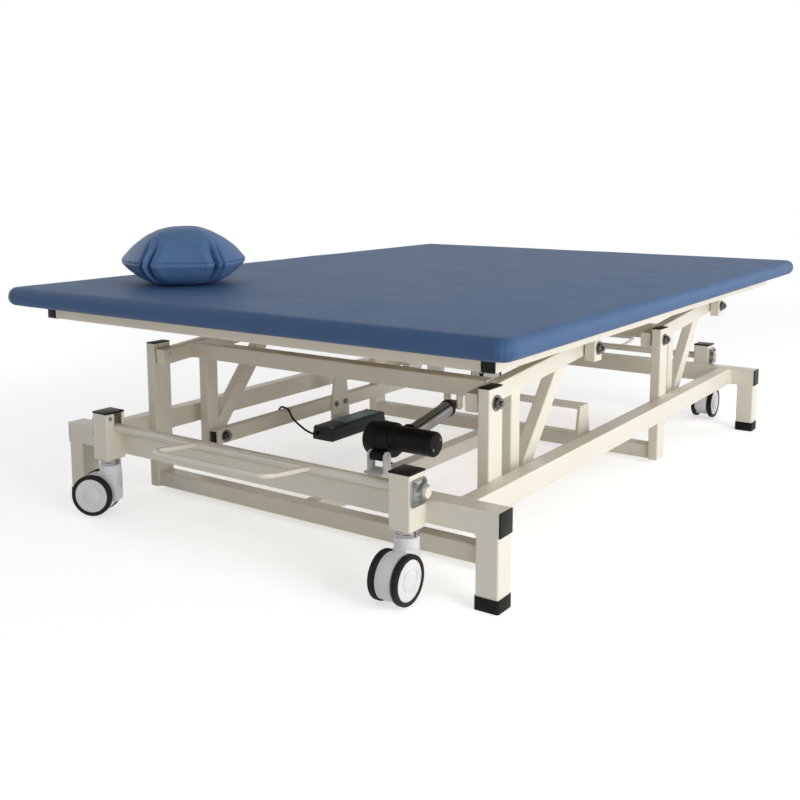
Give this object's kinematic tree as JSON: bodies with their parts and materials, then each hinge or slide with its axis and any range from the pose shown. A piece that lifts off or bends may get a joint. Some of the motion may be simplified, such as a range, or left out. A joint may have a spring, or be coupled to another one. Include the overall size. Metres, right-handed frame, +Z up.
{
  "type": "electric treatment bed",
  "caption": "Low, wide electric treatment bed: padded platform on parallel swing levers raised by one linear actuator, on a footed base with pedal-lowered twin-wheel casters",
  "frame": {"origin": "on the floor under the middle of the bed", "axes": "+X to the bed's right, +Y from the near pedal end to the far end, +Z up"},
  "size_m": [1.3996, 2.0208, 0.6905],
  "materials": {
    "cream_steel": "satin powder coat, cream",
    "zinc": "zinc plated",
    "bare_steel": "bright plated",
    "grey_tube": "grey anodised look",
    "black_plastic": "matt black",
    "dark_plastic": "dark grey, matt",
    "white_plastic": "white moulded",
    "foot_rubber": "black rubber",
    "tyre": "black rubber tread",
    "blue_vinyl": "blue vinyl over foam",
    "board": "plywood"
  },
  "bodies": {
    "base": {"near_end_frame": "cream_steel", "near_post_frame": "cream_steel", "far_end_frame": "cream_steel", "far_post_frame": "cream_steel", "left_side_beam": "cream_steel", "right_side_beam": "cream_steel", "centre_low_bar": "cream_steel", "rear_actuator_bracket": "white_plastic", "actuator_lead": "black_plastic", "near_left_foot_cap": "foot_rubber", "near_left_caster_post": "cream_steel", "near_left_flange_bearing": "zinc", "near_right_foot_cap": "foot_rubber", "near_right_caster_post": "cream_steel", "near_right_flange_bearing": "zinc", "far_left_foot_cap": "foot_rubber", "far_left_caster_post": "cream_steel", "far_left_flange_bearing": "zinc", "far_right_foot_cap": "foot_rubber", "far_right_caster_post": "cream_steel", "far_right_flange_bearing": "zinc"},
    "near_lever": {"near_swing_frame": "cream_steel"},
    "far_lever": {"far_swing_frame": "cream_steel"},
    "platform": {"top_frame": "cream_steel", "bed_board": "board", "pad": "blue_vinyl", "pillow": "blue_vinyl"},
    "lift_links": {"left_tie_rod": "cream_steel", "right_tie_rod": "cream_steel", "bridge": "cream_steel", "control_box": "dark_plastic", "box_lead": "black_plastic"},
    "actuator": {"gear_housing": "black_plastic", "drive_motor": "black_plastic", "outer_tube": "grey_tube"},
    "actuator_rod": {"piston_rod": "bare_steel"},
    "near_pedal": {"near_pedal_shaft": "cream_steel"},
    "far_pedal": {"far_pedal_shaft": "cream_steel"},
    "near_left_stem": {"near_left_caster_stem": "bare_steel"},
    "near_left_housing": {"near_left_caster_housing": "white_plastic"},
    "near_left_wheel": {"near_left_wheel_hub": "white_plastic", "near_left_tyre_a": "tyre", "near_left_tyre_b": "tyre"},
    "near_right_stem": {"near_right_caster_stem": "bare_steel"},
    "near_right_housing": {"near_right_caster_housing": "white_plastic"},
    "near_right_wheel": {"near_right_wheel_hub": "white_plastic", "near_right_tyre_a": "tyre", "near_right_tyre_b": "tyre"},
    "far_left_stem": {"far_left_caster_stem": "bare_steel"},
    "far_left_housing": {"far_left_caster_housing": "white_plastic"},
    "far_left_wheel": {"far_left_wheel_hub": "white_plastic", "far_left_tyre_a": "tyre", "far_left_tyre_b": "tyre"},
    "far_right_stem": {"far_right_caster_stem": "bare_steel"},
    "far_right_housing": {"far_right_caster_housing": "white_plastic"},
    "far_right_wheel": {"far_right_wheel_hub": "white_plastic", "far_right_tyre_a": "tyre", "far_right_tyre_b": "tyre"}
  },
  "joints": [
    {"name": "lift", "type": "hinge", "parent": "base", "child": "near_lever", "pos_m": [0, -0.662, 0.356], "axis": [1, 0, 0], "range_deg": [0, 45]},
    {"name": "far_lever_turn", "type": "hinge", "parent": "base", "child": "far_lever", "pos_m": [0, 0.298, 0.356], "axis": [1, 0, 0], "range_deg": [0, 45]},
    {"name": "platform_level", "type": "hinge", "parent": "near_lever", "child": "platform", "pos_m": [0, -0.156, 0.397], "axis": [1, 0, 0], "range_deg": [-45, 0]},
    {"name": "links_level", "type": "hinge", "parent": "near_lever", "child": "lift_links", "pos_m": [0, -0.508, 0.118], "axis": [1, 0, 0], "range_deg": [-45, 0]},
    {"name": "actuator_tilt", "type": "hinge", "parent": "base", "child": "actuator", "pos_m": [0, -0.372, 0.096], "axis": [1, 0, 0], "range_deg": [0, 16.32]},
    {"name": "actuator_stroke", "type": "slide", "parent": "actuator", "child": "actuator_rod", "axis": [0, 0.9836, 0.1805], "range_m": [0, 0.1756]},
    {"name": "near_pedal_press", "type": "hinge", "parent": "base", "child": "near_pedal", "pos_m": [0, -0.87, 0.217], "axis": [1, 0, 0], "range_deg": [0, 40]},
    {"name": "far_pedal_press", "type": "hinge", "parent": "base", "child": "far_pedal", "pos_m": [0, 0.87, 0.217], "axis": [-1, 0, 0], "range_deg": [0, 40]},
    {"name": "near_left_stem_drop", "type": "slide", "parent": "base", "child": "near_left_stem", "axis": [0, 0, -1], "range_m": [0, 0.0091]},
    {"name": "near_left_swivel", "type": "hinge", "parent": "near_left_stem", "child": "near_left_housing", "pos_m": [-0.433, -0.8773, 0.115], "axis": [0, 0, 1], "continuous": true},
    {"name": "near_left_roll", "type": "hinge", "parent": "near_left_housing", "child": "near_left_wheel", "pos_m": [-0.46653, -0.89294, 0.053], "axis": [0.4226, -0.9063, 0], "continuous": true},
    {"name": "near_right_stem_drop", "type": "slide", "parent": "base", "child": "near_right_stem", "axis": [0, 0, -1], "range_m": [0, 0.0091]},
    {"name": "near_right_swivel", "type": "hinge", "parent": "near_right_stem", "child": "near_right_housing", "pos_m": [0.433, -0.8773, 0.115], "axis": [0, 0, 1], "continuous": true},
    {"name": "near_right_roll", "type": "hinge", "parent": "near_right_housing", "child": "near_right_wheel", "pos_m": [0.433, -0.9143, 0.053], "axis": [1, 0, 0], "continuous": true},
    {"name": "far_left_stem_drop", "type": "slide", "parent": "base", "child": "far_left_stem", "axis": [0, 0, -1], "range_m": [0, 0.0091]},
    {"name": "far_left_swivel", "type": "hinge", "parent": "far_left_stem", "child": "far_left_housing", "pos_m": [-0.433, 0.8773, 0.115], "axis": [0, 0, 1], "continuous": true},
    {"name": "far_left_roll", "type": "hinge", "parent": "far_left_housing", "child": "far_left_wheel", "pos_m": [-0.42035, 0.91207, 0.053], "axis": [-0.9397, 0.342, 0], "continuous": true},
    {"name": "far_right_stem_drop", "type": "slide", "parent": "base", "child": "far_right_stem", "axis": [0, 0, -1], "range_m": [0, 0.0091]},
    {"name": "far_right_swivel", "type": "hinge", "parent": "far_right_stem", "child": "far_right_housing", "pos_m": [0.433, 0.8773, 0.115], "axis": [0, 0, 1], "continuous": true},
    {"name": "far_right_roll", "type": "hinge", "parent": "far_right_housing", "child": "far_right_wheel", "pos_m": [0.433, 0.9143, 0.053], "axis": [-1, 0, 0], "continuous": true}
  ],
  "couplings": [
    {"joint": "far_lever_turn", "follows": "lift", "ratio": 1},
    {"joint": "platform_level", "follows": "lift", "ratio": -1},
    {"joint": "links_level", "follows": "lift", "ratio": -1},
    {"joint": "actuator_tilt", "follows": "lift", "ratio": 0.36234},
    {"joint": "actuator_stroke", "follows": "lift", "m_per_rad": 0.22331},
    {"joint": "near_left_stem_drop", "follows": "near_pedal_press", "m_per_rad": 0.01289},
    {"joint": "near_right_stem_drop", "follows": "near_pedal_press", "m_per_rad": 0.01289},
    {"joint": "far_left_stem_drop", "follows": "far_pedal_press", "m_per_rad": 0.01289},
    {"joint": "far_right_stem_drop", "follows": "far_pedal_press", "m_per_rad": 0.01289}
  ]
}
